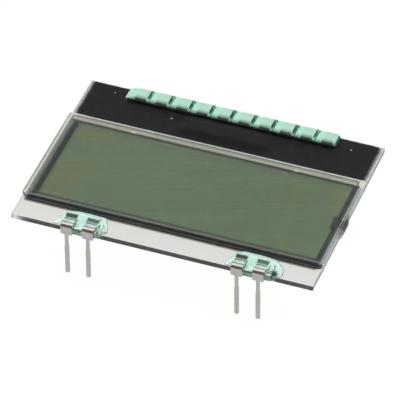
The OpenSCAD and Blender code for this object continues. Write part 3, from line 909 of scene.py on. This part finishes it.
def poolField(middle, pool):
    edge = rearLow[1]
    wall = frontLow[1]

    def field(x, y, z):
        across = x - middle
        inward = y - edge
        height = z - deckZ
        cover = None
        for (x0, y0), (x1, y1), scale in pool["edges"]:
            area = (x1 - x0) * (inward - y0) - (y1 - y0) * (across - x0)
            gap = area / math.hypot(x1 - x0, y1 - y0) / scale
            cover = gap if cover is None else joined(cover, gap, 0.3)
        between = np.clip((0.75 - np.abs(across)) / 0.2, 0, 1)
        lip = between * rounded((inward + 0.02) / 0.5) + (1 - between) * rounded((inward + 0.02) / 1.3)
        crown = 0.50 * rounded(cover) ** 0.9 * lip
        crown = crown * (0.3 + 0.7 * rounded((wall - y) / 1.1))
        for side in (-1, 1):  # the glue follows each jaw closely and covers its tip
            aside = np.abs(across - side * pin["pitch"] / 2)
            beside = np.clip((jaw["wide"] - aside) / 0.14, 0, 1)
            beside = beside * np.clip((jaw["reach"] - inward) / 0.3, 0, 1)
            crown = crown + beside * (np.interp(inward, *zip(*jaw["heights"])) - crown)
        onPlate = np.maximum((height - crown) * 0.8, -height - 0.003)
        body = np.maximum(onPlate, np.maximum(-inward - 0.02, y - wall - 0.004))
        for centre, half in pool["blocks"]:
            body = joined(body, block(across, inward, height, centre, half, 0.14), 0.12)
        for path, radius in pool["ridges"]:
            body = joined(body, ridge(across, inward, height, path, radius), 0.06)
        clearOfPlate = np.maximum(body, np.minimum(inward - 0.003, -height - 0.003))
        return np.maximum(clearOfPlate, y - wall - 0.004)

    return field


def makePool(name, middle, pool, node):
    low = (middle - 3.7, rearLow[1] - 0.5, deckZ - 1.05)
    high = (middle + 4.1, frontLow[1] + 0.1, deckZ + 0.95)

    def shadeAt(x, y, z):  # painted shade and reflection: bands over the jaws, dark lines along the curls and dark spots in the glue
        across, inward, height = x - middle, y - rearLow[1], z - deckZ
        shade = 1.6 - np.minimum.reduce([
            np.sqrt((across - a) ** 2 + (inward - b) ** 2 + (height - h) ** 2) / radius
            for a, b, h, radius in pool["shadeSpots"]
        ])
        flat = np.zeros_like(x)
        for path, width in pool["shadeStrokes"]:
            away = ridge(across, inward, flat, [(a, b, 0) for a, b in path], 0.0) / width
            shade = np.maximum(shade, (1.2 - away ** 2) * (height > 0.05))
        cloud = np.clip((height - 0.12) / 0.3, 0, 1)
        # painted reflection and shade over each jaw: a dark tip, dark and light lines, and a bright milky
        # band
        for side, paintedTipShade in zip((-1, 1), jaw["tipShades"]):
            aside = np.abs(across - side * pin["pitch"] / 2)
            onJaw = np.clip((0.74 - aside) / 0.08, 0, 1) * (height > 0.1)
            shades = jaw["shades"] + tuple(zip(jaw["tip"], (0.0, paintedTipShade, paintedTipShade, 0.0)))
            shade = np.maximum(shade, np.interp(inward, *zip(*shades)) * onJaw)
            cloud = cloud + onJaw * np.interp(inward, *zip(*jaw["clouds"]))
        return shade, cloud / 2

    gluePiece(name, poolField(middle, pool), low, high, glue["step"], node, shadeAt, poolPaint)


pinXs = [spanMiddle(node, node) for node in frontPinNodes]
makePool("leftPool", (pinXs[0] + pinXs[1]) / 2, pools["left"], "front_left_adhesive")
makePool("rightPool", (pinXs[2] + pinXs[3]) / 2, pools["right"], "front_right_adhesive")

# heights and places in millimetres; the groove and the painted dark line of shade lie beside each clip
bead = {"left": -13.05, "right": 12.75, "rise": 0.60, "inner": 2.25, "groove": 0.22, "grooveX": 0.90,
        "grooveWide": 0.20, "line": 0.105, "lineX": 0.82, "loop": 0.30, "tailX": 0.24, "endX": 12.5}
grooveDice = np.random.default_rng(7)
grooveShift = grooveDice.uniform(-0.05, 0.05, 12)
grooveDepth = grooveDice.uniform(0.7, 1.15, 12)


def besideClip(x):  # number of the clip at or left of each point, and how far right of it the point lies
    last = pin["count"] - 1
    across = (x - rearShift) / pin["pitch"] + last / 2
    place = np.clip(np.floor(across + 0.25), 0, last).astype(int)
    return place, (across - place) * pin["pitch"] - grooveShift[place]


def beadField(x, y, z):
    place, beside = besideClip(x)
    inward = rearHigh[1] - y
    height = z - deckZ
    groove = np.exp(-((beside - bead["grooveX"]) / bead["grooveWide"]) ** 4)
    groove *= (place < pin["count"] - 1) * grooveDepth[place]
    groove *= rounded((inward - 0.1) / 0.3) * rounded((2.0 - inward) / 0.5)
    rise = bead["rise"] - bead["groove"] * groove
    ends = rounded((x - bead["left"]) / 0.9) ** 0.7 * rounded((bead["right"] - x) / 0.35) ** 0.6
    rise = rise * rounded((inward + 0.02) / 0.3) * rounded((bead["inner"] - inward) / 0.55) ** 0.6 * ends
    glueTop = np.maximum(np.maximum((height - rise) * 0.8, -height - 0.003), -inward - 0.02)
    half = (bead["right"] - bead["left"]) / 2 - 0.5
    middle = (bead["right"] + bead["left"]) / 2
    wrap = block(x, inward, height, (middle, 0.0, -0.07), (half, 0.24, 0.46), 0.2)
    body = joined(glueTop, wrap, 0.12)
    return np.maximum(body, np.minimum(inward - 0.003, -height - 0.003))


def beadShade(x, y, z):  # painted shade: a dark line beside each clip, a straight one and a loop at its outer half; darker sides over each clip, a dark right end and a dark inner fringe
    place, beside = besideClip(x)
    inward = rearHigh[1] - y
    long = np.exp(-((beside - bead["lineX"]) / bead["line"]) ** 2) * np.clip((1.9 - inward) / 0.7, 0.35, 1)
    bow = bead["lineX"] + bead["loop"] * np.sin(np.clip((inward + 0.05) / 1.0, 0, 1) * math.pi) ** 0.6
    loop = np.exp(-((beside - bow) / bead["line"]) ** 2) * (inward < 1.0)
    tail = 0.75 * np.exp(-((beside - bead["lineX"] - bead["tailX"]) / bead["line"]) ** 2) * (inward > 0.8)
    onClip = np.clip((0.72 - np.abs(beside)) / 0.1, 0, 1)
    barrelShade = 0.2 * np.clip(np.abs(inward - 0.9) / 0.9, 0, 1) ** 1.5 * onClip
    sideShade = np.maximum(np.maximum(long, loop), tail) * grooveDepth[place] * (place < pin["count"] - 1)
    sideShade = np.maximum(sideShade, 0.6 * np.clip((x - bead["endX"]) / 0.12, 0, 1))
    begin = 1.3 + 0.25 * np.clip((np.abs(beside) - 0.6) / 0.2, 0, 1)
    fringeShade = 0.85 * np.clip((inward - begin) / 0.6, 0, 1) + 0.15 * np.clip((inward - 1.95) / 0.15, 0, 1)
    shade = np.maximum.reduce([sideShade * 2.2, fringeShade, barrelShade]) * (z > deckZ + 0.03)
    return shade, np.clip((x + 13.15) / 1.0, 0.1, 1)


beadLow = (bead["left"] - 0.3, rearHigh[1] - 2.4, deckZ - 0.7)
beadHigh = (bead["right"] + 0.3, rearHigh[1] + 0.5, deckZ + 0.9)
gluePiece("rearBead", beadField, beadLow, beadHigh, glue["beadStep"], "rear_adhesive", beadShade, beadPaint)
print("adhesive made")

# from borderFrom and greenFrom inwards, what lies between the plates takes the border's and display's tones
plug = {"dark": paint(46, 50, 46), "grey": paint(128, 133, 130), "borderFrom": (17.45, 17.3),
        "greenFrom": (16.6, 16.52), "dabs": ((0.2, -0.95), (-1.95, -2.65)), "dabSize": 0.055,
        "dabStep": 0.025}
plugPaint, tree = newMaterial("plugResin")
vector = pointIn(tree)
place = partsOf(tree, vector)
fromMiddle = distanceFrom(tree, place["Y"], (plugLow[1] + plugHigh[1]) / 2)
clump = noiseOf(tree, vector, 1.6, 3.0)
lighter = product(tree, fade(tree, fromMiddle, 0.7, 1.2), fade(tree, clump, 0.35, 0.55))
tone = blendOf(tree, lighter, plug["dark"], plug["grey"])
tone = blendOf(tree, fade(tree, place["X"], *plug["borderFrom"]), tone, cell["border"])
tone = blendOf(tree, fade(tree, place["X"], *plug["greenFrom"]), tone, cell["green"])
lumps = bumpOf(tree, noiseOf(tree, vector, 4.0, 2.0), 0.3, 0.04)
finishMaterial(tree, principled(tree, Base_Color=tone, Roughness=0.25, Normal=lumps))
dress(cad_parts["fill_port_plug"], [plugPaint])


def edgeDab(number, start, end):  # dark resin left in the gap at the left edge
    edge = rearLow[0]

    def field(x, y, z):
        ends = [(edge + 0.005, along, deckZ + 0.01) for along in (start, end)]
        return capsule(x, y, z, *ends, plug["dabSize"]) + 0.02 * np.sin(7 * y + number) * np.sin(11 * y)

    low = (edge - 0.14, end - 0.2, deckZ - 0.15)
    high = (edge + 0.14, start + 0.2, deckZ + 0.17)
    points, quads = surfaceNet(field, low, high, plug["dabStep"])
    settle(keepPiece("edgeDab%d" % (number + 1), points, quads, [plugPaint]), "plug_resin")


for number, (start, end) in enumerate(plug["dabs"]):
    edgeDab(number, start, end)
print("resin made")
